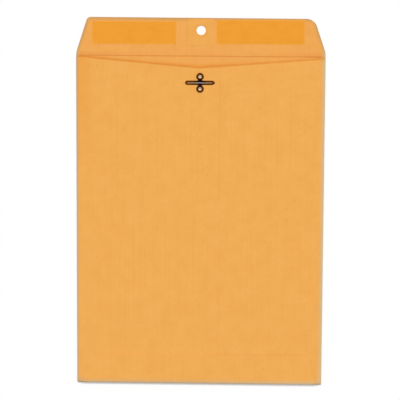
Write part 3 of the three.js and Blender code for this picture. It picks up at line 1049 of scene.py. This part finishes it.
class ENVELOPE_OT_back_sheets(EnvelopeOperator, Operator):
    """Model the two back sheets with their pinched side folds, the left one lapped over the right"""

    bl_idname = "kraft_envelope.back_sheets"
    bl_label = "Back Sheets"

    def execute(self, context):
        settings = self.settings(context)
        for side, name, low, high, lap_x in (
            (-1, "left", left_low, left_high, right_low.x),
            (1, "right", right_low, right_high, left_high.x),
        ):
            fold_x = high.x if side > 0 else low.x
            sheet = self.fold_sheet(f"{name}_back_sheet", side, fold_x, low, high, settings.paper)
            self.punch_for_eyelets(sheet, settings.clasp)
            mask = self.swell_mask(side, fold_x, lap_x, settings.paper)
            swell(sheet, settings.paper.swell, mask)
            self.finish(sheet, settings.paper)
            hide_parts(f"{name}_side_fold", f"{name}_back_panel")
            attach(sheet, "envelope")
        return {"FINISHED"}

    def fold_sheet(self, name, side, fold_x, low, high, settings):
        """Cut the throat into a flat sheet and fold its outer edge."""
        level = low.z + paper / 2
        sheet = start_sheet(name, low.x, high.x, panel_bottom_y, left_throat_y, level)
        self.cut_throat(settings)
        inset_border(2 * settings.border)
        inset_border(settings.border)
        cut_at_x(settings.throat_x)
        for part in BAND_ROWS:
            cut_at_x(side * (half_width - part * settings.faded_far))
        cut_rows(cut_at_x, low.x, high.x, settings.grid)
        cut_rows(cut_at_y, panel_bottom_y, left_throat_y, settings.grid)
        cut_at_y(throat_height(fold_x, settings) - settings.border)
        self.spin_fold(side, fold_x, level, settings)
        leave_edit()
        thicken(sheet, paper)
        return sheet

    def cut_throat(self, settings):
        """Cut the flat V of the throat."""
        point_y = score_y - settings.throat_drop
        for side, corner_y in ((-1, left_throat_y), (1, right_throat_y)):
            reach = half_width - side * settings.throat_x
            cut((settings.throat_x, point_y, 0), (-side * (corner_y - point_y), reach, 0))
        delete_faces(lambda place: place.y > throat_height(place.x, settings))
        merge_flat_faces()

    def spin_fold(self, side, fold_x, level, settings):
        """Spin the outer edge down at an angle, and then round the pinched fold."""
        lift = settings.fold_lift
        outer = fold_outer_radius(settings)
        drop = level - outer - (settings.fold_radius + paper / 2) * math.cos(lift)
        pick("edges", lambda place: near(place.x, fold_x))
        for steps, sweep, centre in (
            (6, lift, (fold_x, 0, level - drop / (1 - math.cos(lift)))),
            (12, math.pi - lift, (side * (half_width - outer), 0, outer)),
        ):
            bpy.ops.mesh.spin(steps=steps, angle=sweep, center=centre, axis=(0, -side, 0))

    def punch_for_eyelets(self, sheet, settings):
        clearance = 0.15 * MM
        for side in (-1, 1):
            y = clasp_y + side * eyelet_offset
            punch(sheet, clasp_x, y, settings.bore_radius + settings.metal + clearance)

    def swell_mask(self, side, fold_x, lap_x, settings):
        """Let a sheet swell clear of its fold, the other sheet, the throat and the bottom flap."""
        ramp = 32 * MM
        start = fold_x - side * 3 * MM
        end = lap_x + side * 6 * MM
        low_y = bottom_high.y + 6 * MM
        high_y = bottom_high.y + 50 * MM

        def mask(place):
            from_fold = smooth_share(place.x, start, start - side * ramp)
            from_lap = smooth_share(place.x, end, end + side * ramp)
            top = throat_height(place.x, settings)
            from_throat = smooth_share(place.y, top, top - 24 * MM)
            return from_fold * from_lap * from_throat * smooth_share(place.y, low_y, high_y)

        return mask

    def finish(self, sheet, settings):
        finish_piece(
            sheet, kraft_material(settings),
            wear=lambda place: self.wear_at(place, settings),
            fade=lambda place: max(fade_side(place, settings), fade_bottom(place, settings)),
            mouth=lambda place: self.shade_throat(place, settings),
        )

    def wear_at(self, place, settings):
        """Folds and the throat are darkened most, partly as scuffing and partly as painted shade. The
        seam and the eyelet holes are darkened only a little.
        """
        fold_reach = 1 * MM
        throat_reach = 0.1 * settings.border
        if half_width - abs(place.x) < fold_reach:
            return FOLD_WEAR_AND_SHADE
        if throat_height(place.x, settings) - place.y < throat_reach:
            return CUT_WEAR_AND_SHADE
        return SEAM_WEAR_AND_SHADE

    def shade_throat(self, place, settings):
        """How deep a back sheet lies in painted shade at the cut edge of the throat, and down its left
        side.
        """
        below = throat_height(place.x, settings) - place.y
        at_edge = 1 - smooth_share(below, 0, 2 * settings.border)
        beside = 1 - smooth_share(place.x + half_width, 6 * MM, 15 * MM)
        return max(at_edge, 0.45 * beside * (1 - smooth_share(below, 30 * MM, 120 * MM)))


class ENVELOPE_OT_bottom_flap(EnvelopeOperator, Operator):
    """Model the bottom flap and the fold that carries it round the bottom edge"""

    bl_idname = "kraft_envelope.bottom_flap"
    bl_label = "Bottom Flap"

    def execute(self, context):
        settings = self.settings(context).paper
        low, high = bottom_low, bottom_high
        flap = start_sheet("bottom_flap_sheet", low.x, high.x, low.y, high.y, high.z - paper / 2)
        self.slant_sides(high.y - low.y, settings)
        inset_border(settings.border)
        cut_grid(low, high, settings.grid)
        for part in BAND_ROWS:
            cut_at_y(bottom_edge_y + part * settings.faded_far)
        pick("edges", lambda place: near(place.y, low.y))
        centre = (0, low.y, high.z / 2)
        bpy.ops.mesh.spin(steps=14, angle=math.pi, center=centre, axis=(-1, 0, 0))
        leave_edit()
        thicken(flap, paper)
        finish_piece(
            flap, kraft_material(settings),
            wear=lambda place: CUT_WEAR_AND_SHADE if place.y < panel_bottom_y else SEAM_WEAR_AND_SHADE,
            fade=lambda place: fade_bottom(place, settings),
        )
        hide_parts("bottom_fold", "bottom_flap")
        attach(flap, "envelope")
        return {"FINISHED"}

    def slant_sides(self, height, settings):
        """Slant both sides of the flap and round its corners."""
        taper = settings.bottom_taper
        slant = math.atan(taper / height)
        for side in (-1, 1):
            edge = (side * bottom_high.x, bottom_low.y, 0)
            cut(edge, (side * height, taper, 0), clear=True)
        for side in (-1, 1):
            corner_x = side * (bottom_high.x - taper)
            round_corner(corner_x, bottom_high.y, settings.bottom_corner, math.pi / 2 - slant)


class ENVELOPE_OT_hole_patch(EnvelopeOperator, Operator):
    """Model the paper patch that backs the punched hole"""

    bl_idname = "kraft_envelope.hole_patch"
    bl_label = "Hole Patch"

    def execute(self, context):
        settings = self.settings(context)
        sizes = settings.paper
        low, high = patch_low, patch_high
        thickness = (high.z - low.z) / 2
        level = low.z + thickness / 2
        patch = start_sheet("hole_patch_sheet", low.x, high.x, low.y, high.y, level)
        round_corners(low.x, high.x, low.y, high.y, sizes.patch_corner)
        inset_border(sizes.border)
        cut_grid(low, high, sizes.grid / 3)
        leave_edit()
        thicken(patch, thickness)
        punch_hole(patch, sizes)
        lift_flap_piece(patch, sizes)
        material = paper_material("patch paper", settings.gum.patch, sizes.kraft_dark, sizes)

        def handled(place):
            """Painted shade on the paper round the hole, darkest at its edge."""
            return 0.5 * (1 - smooth_share(beyond_hole(place, sizes), 0, 2.6 * MM))

        finish_piece(patch, material, mouth=handled)
        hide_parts("hole_patch")
        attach(patch, "flap")
        return {"FINISHED"}


class ENVELOPE_OT_gum_strips(EnvelopeOperator, Operator):
    """Model the two strips of seal gum with their uneven edges"""

    bl_idname = "kraft_envelope.gum_strips"
    bl_label = "Gum Strips"

    def execute(self, context):
        settings = self.settings(context)
        material = gum_material(settings.gum)
        for seed, side in ((3, "left"), (4, "right")):
            node = f"gum_strip_{side}"
            low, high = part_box(node)
            strip = self.film(f"gum_film_{side}", low, high, seed, settings)
            thin = self.thin_border(low, high, settings.gum)
            finish_piece(strip, material, fade=thin)
            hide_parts(node)
            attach(strip, "flap")
        return {"FINISHED"}

    def film(self, name, low, high, seed, settings):
        """Let the outline of a thin film wander inside its strip."""
        rag = settings.gum.raggedness
        level = (low.z + high.z) / 2
        sides = (low.x + rag, high.x - rag, low.y + rag, high.y - rag)
        strip = start_sheet(name, *sides, level)
        round_corners(*sides, settings.gum.gum_corner)
        inset_border(1.2 * MM)
        cut_grid(low, high, settings.paper.grid / 3)
        bpy.ops.mesh.select_mode(type="EDGE")
        bpy.ops.mesh.select_all(action="DESELECT")
        bpy.ops.mesh.select_non_manifold(
            use_wire=False, use_multi_face=False, use_non_contiguous=False,
        )
        bpy.ops.transform.vertex_random(offset=rag, uniform=1.0, seed=seed)
        resize(1, 1, 0, (0, 0, level))
        leave_edit()
        thicken(strip, high.z - low.z)
        lift_flap_piece(strip, settings.paper)
        return strip

    def thin_border(self, low, high, settings):
        """Tell how thin the gum is, which is thinnest along the outline of its strip."""
        def thinness(place):
            inset = min(place.x - low.x, high.x - place.x, place.y - low.y, high.y - place.y)
            return 1 - smooth_share(inset, settings.raggedness, settings.gum_thin)

        return thinness


class ENVELOPE_OT_glue_lines(EnvelopeOperator, Operator):
    """Give the dried glue of the seams its finish"""

    bl_idname = "kraft_envelope.glue_lines"
    bl_label = "Glue Lines"

    def execute(self, context):
        material = glue_material(self.settings(context).gum)
        for node in ("centre_seam_glue", "bottom_seam_glue"):
            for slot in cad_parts[node].material_slots:
                slot.material = material
        return {"FINISHED"}


def crowned_bar(name, start, end, tip, settings):
    """A crowned strip along X from the clasp's middle, with a tip of two arcs if one is asked for."""
    half = bar_width / 2
    tip_start = end - tip
    bar = start_sheet(name, start, tip_start, 0, half, 0)
    if tip:
        radius = max(half, (tip * tip + half * half) / (2 * half))
        sweep = math.acos((radius - half) / radius)
        centre = (tip_start, half - radius, 0)
        pick("edges", lambda place: near(place.x, tip_start))
        bpy.ops.mesh.spin(steps=12, angle=sweep, center=centre, axis=(0, 0, 1))
        cut((0, 0, 0), (0, -1, 0), clear=True)
    leave_edit()
    apply_modifier(bar, "MIRROR", use_axis=(False, True, False), merge_threshold=TINY)
    edit_all()
    merge_flat_faces()
    raise_crown(tip_start, settings)
    return bar


def raise_crown(tip_start, settings):
    """Raise the edge of a strip, and then its crown, in steps that narrow along an ellipse."""
    pick("faces", lambda place: True)
    extrude(settings.bar_edge)
    steps = 8
    limit = math.radians(76)
    rise = (bar_crown - settings.bar_edge) / math.sin(limit)
    before = 0.0
    for step in range(1, steps + 1):
        bend = limit * step / steps
        narrower = math.cos(bend) / math.cos(before)
        extrude(rise * (math.sin(bend) - math.sin(before)))
        resize(1, narrower, 1)
        level = settings.bar_edge + rise * math.sin(bend) - TINY
        pick("verts", lambda place: place.z > level and place.x > tip_start + TINY)
        resize(narrower, 1, 1, (tip_start, 0, 0))
        pick("faces", lambda place: place.z > level)
        before = bend


class ENVELOPE_OT_clasp_body(EnvelopeOperator, Operator):
    """Model the middle of the clasp with its necks and its two rolled and clinched eyelets"""

    bl_idname = "kraft_envelope.clasp_body"
    bl_label = "Clasp Body"

    def execute(self, context):
        settings = self.settings(context).clasp
        reach = bend_line_reach() - settings.bend_reach
        body = crowned_bar("clasp_centre", -reach, reach, 0, settings)
        leave_edit()
        combine(body, self.neck(settings), "UNION")
        for side in (-1, 1):
            punch(body, 0, side * eyelet_offset, settings.bore_radius + settings.metal / 2)
        for side in (-1, 1):
            combine(body, self.eyelet(side, settings), "UNION")
        edit_all()
        move(clasp_x, clasp_y, clasp_level)
        leave_edit()
        finish_piece(body, clasp_material(settings), sharp=45)
        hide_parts("clasp_body")
        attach(body, "envelope")
        return {"FINISHED"}

    def neck(self, settings):
        """A strip through both eyelets that flares where it meets the bar."""
        neck = start_piece("neck", bpy.ops.mesh.primitive_cube_add, size=1)
        resize(settings.neck_width, 2 * eyelet_offset, settings.metal)
        move(0, 0, settings.metal / 2)
        edge = bar_width / 2
        flare_end = edge + 0.9 * MM
        for y in (-flare_end, -edge, edge, flare_end):
            cut_at_y(y)
        pick("verts", lambda place: abs(place.y) < edge + TINY)
        resize(1 + settings.neck_flare / settings.neck_width, 1, 1)
        leave_edit()
        return neck

    def eyelet(self, side, settings):
        """Half of a torus rolled on the paper, its barrel drawn down and clinched out under it."""
        bore = settings.bore_radius
        barrel = settings.barrel_radius
        flange = settings.flange_radius
        outer = bore + settings.metal
        tube = (rim_radius - bore) / 2
        flange_top = right_low.z - clasp_level
        rim = start_piece(
            "eyelet", bpy.ops.mesh.primitive_torus_add, major_radius=rim_radius - tube,
            minor_radius=tube, major_segments=72, minor_segments=24,
        )
        resize(1, 1, rim_height / tube)
        cut((0, 0, 0), (0, 0, -1), clear=True)
        pick("edges", lambda place: place.z < TINY and place.xy.length < bore + tube / 2)
        for widening, lift in (
            (barrel / bore, -settings.barrel_depth),
            (1.0, flange_top - settings.metal + settings.barrel_depth),
            (flange / barrel, 0),
            (1.0, settings.metal),
            (outer / flange, 0),
            (1.0, -flange_top),
        ):
            bpy.ops.mesh.extrude_edges_move(TRANSFORM_OT_translate={"value": (0, 0, lift)})
            resize(widening, widening, 1)

        def on_paper(place):
            away = place.xy.length
            on_ring = near(away, outer, 10 * TINY) or near(away, rim_radius, 10 * TINY)
            return near(place.z, 0) and on_ring

        pick("edges", on_paper)
        bpy.ops.mesh.bridge_edge_loops()
        leave_edit()
        combine(rim, self.slits(outer, flange_top, settings), "DIFFERENCE")
        edit_all()
        move(0, side * eyelet_offset, 0)
        stop_edit()
        return rim

    def slits(self, inner, flange_top, settings):
        """Six blades that split the flange into tabs."""
        blades = start_piece("slits", bpy.ops.mesh.primitive_cube_add, size=1)
        resize(2 * settings.flange_radius, settings.slit_width, 3 * settings.metal)
        move(inner + settings.flange_radius, 0, flange_top - settings.metal)
        tabs = 6
        for tab in range(tabs - 1):
            bpy.ops.mesh.duplicate()
            turn(2 * math.pi / tabs)
        stop_edit()
        return blades


def bend_line_reach():
    """From the middle of the clasp to the line where a prong bends."""
    return right_prong_low.x - clasp_x


class ENVELOPE_OT_clasp_prongs(EnvelopeOperator, Operator):
    """Model the two crowned prongs, each bending out of the middle of the clasp"""

    bl_idname = "kraft_envelope.clasp_prongs"
    bl_label = "Clasp Prongs"

    def execute(self, context):
        settings = self.settings(context).clasp
        for side, name, tip, tip_x in (
            (-1, "left", settings.left_tip, left_prong_low.x),
            (1, "right", settings.right_tip, right_prong_high.x),
        ):
            reach = abs(tip_x - clasp_x)
            prong = self.shape_prong(side, f"clasp_{name}_prong", tip, reach, settings)
            finish_piece(prong, clasp_material(settings), sharp=45)
            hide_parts(f"clasp_prong_{name}")
            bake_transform(prong)
        return {"FINISHED"}

    def shape_prong(self, side, name, tip, reach, settings):
        """Model a prong towards the right, with rows where it bends, and turn a left one round."""
        start = bend_line_reach() - settings.bend_reach
        bend = 2 * settings.bend_reach
        prong = crowned_bar(name, start, reach, tip, settings)
        self.press_hollow(settings)
        rows = 10
        for row in range(1, rows + 1):
            cut_at_x(start + bend * row / rows)
        cut_rows(cut_at_x, start + bend, reach - tip, 1.5 * MM)
        select_all()
        if side < 0:
            turn(math.pi)
        move(clasp_x, clasp_y, clasp_level)
        leave_edit()
        return prong

    def press_hollow(self, settings):
        """Press the underside up, so that the prong is bent sheet."""
        pick("faces", lambda place: near(place.z, 0))
        bpy.ops.mesh.inset(thickness=settings.metal)
        extrude(bar_crown - settings.metal)
        resize(1, 0.5, 1)


class ENVELOPE_OT_stage(EnvelopeOperator, Operator):
    """Set the camera over the envelope, with a pale floor, soft light from all round and two lamps"""

    bl_idname = "kraft_envelope.stage"
    bl_label = "Stage"

    def execute(self, context):
        settings = self.settings(context).stage
        self.lay_floor(settings)
        self.light_world(context.scene, settings)
        self.hang_lamp("key light", 1, settings.key, settings)
        self.hang_lamp("fill light", -1, settings.fill, settings)
        self.place_camera(context.scene, settings)
        context.scene.view_settings.view_transform = "Standard"
        return {"FINISHED"}

    def lay_floor(self, settings):
        floor = start_piece("floor", bpy.ops.mesh.primitive_plane_add, size=8)
        move(0, 0, -0.05 * MM)
        stop_edit()
        material, _ = start_material(
            "floor", Base_Color=(*settings.floor, 1), Roughness=1.0, Specular_IOR_Level=0.0,
        )
        floor.data.materials.append(material)

    def light_world(self, scene, settings):
        """Even light on the envelope, and plain white for the camera and in reflections."""
        world = bpy.data.worlds.new("studio")
        world.use_nodes = True
        own = world.node_tree.nodes
        own["Background"].inputs["Color"].default_value = (1, 1, 1, 1)
        nodes = Nodes(world.node_tree)
        path = nodes.add("ShaderNodeLightPath").outputs
        seen = nodes.math("MAXIMUM", path["Is Camera Ray"], path["Is Glossy Ray"])
        white = nodes.math("MAXIMUM", seen, path["Is Transmission Ray"])
        strength = nodes.between(white, settings.sky, 1)
        nodes.feed(own["Background"], own["World Output"], Strength=strength)
        scene.world = world

    def hang_lamp(self, name, side, strength, settings):
        """Hang a soft light beyond the flap end, right or left of the envelope."""
        bpy.ops.object.select_all(action="DESELECT")
        towards = (math.pi / 2 - settings.lamp_height, 0, math.pi - side * settings.lamp_side)
        place = (side * 0.5, 0.7, 0.6)
        bpy.ops.object.light_add(type="SUN", location=place, rotation=towards)
        lamp = bpy.context.object
        lamp.name = name
        lamp.data.energy = strength
        lamp.data.angle = settings.lamp_softness

    def place_camera(self, scene, settings):
        """Aim the camera at a point of the floor."""
        tilted = Euler((settings.tilt, settings.side_tilt, settings.roll))
        aim = Vector((settings.aim_x, settings.aim_y, 0))
        place = aim + tilted.to_matrix() @ Vector((0, 0, settings.distance))
        bpy.ops.object.camera_add(location=place, rotation=tilted)
        camera = bpy.context.object
        camera.data.lens = settings.lens
        camera.data.clip_start = 0.05
        scene.camera = camera


class ENVELOPE_PT_panel(Panel):
    """Lists the pieces of the envelope in the sidebar"""

    bl_idname = "ENVELOPE_PT_panel"
    bl_label = "Kraft Clasp Envelope"
    bl_space_type = "VIEW_3D"
    bl_region_type = "UI"
    bl_category = "Envelope"

    def draw(self, context):
        for piece in PIECES:
            self.layout.operator(piece.bl_idname)
        settings = context.scene.kraft_envelope
        for group in (settings.paper, settings.gum, settings.clasp, settings.stage):
            box = self.layout.box()
            for name in group.__annotations__:
                box.prop(group, name)


PIECES = (
    ENVELOPE_OT_front_sheet,
    ENVELOPE_OT_back_sheets,
    ENVELOPE_OT_bottom_flap,
    ENVELOPE_OT_glue_lines,
    ENVELOPE_OT_hole_patch,
    ENVELOPE_OT_gum_strips,
    ENVELOPE_OT_clasp_body,
    ENVELOPE_OT_clasp_prongs,
    ENVELOPE_OT_stage,
)
GROUPS = (EnvelopePaper, EnvelopeGum, EnvelopeClasp, EnvelopeStage, KraftEnvelope)


def register():
    for item in (*GROUPS, *PIECES, ENVELOPE_PT_panel):
        bpy.utils.register_class(item)
    bpy.types.Scene.kraft_envelope = PointerProperty(type=KraftEnvelope)


def unregister():
    del bpy.types.Scene.kraft_envelope
    for item in reversed((*GROUPS, *PIECES, ENVELOPE_PT_panel)):
        bpy.utils.unregister_class(item)


def main():
    """Build every piece in order."""
    register()
    for piece in PIECES:
        group, name = piece.bl_idname.split(".")
        getattr(getattr(bpy.ops, group), name)()


if __name__ == "__main__":
    main()
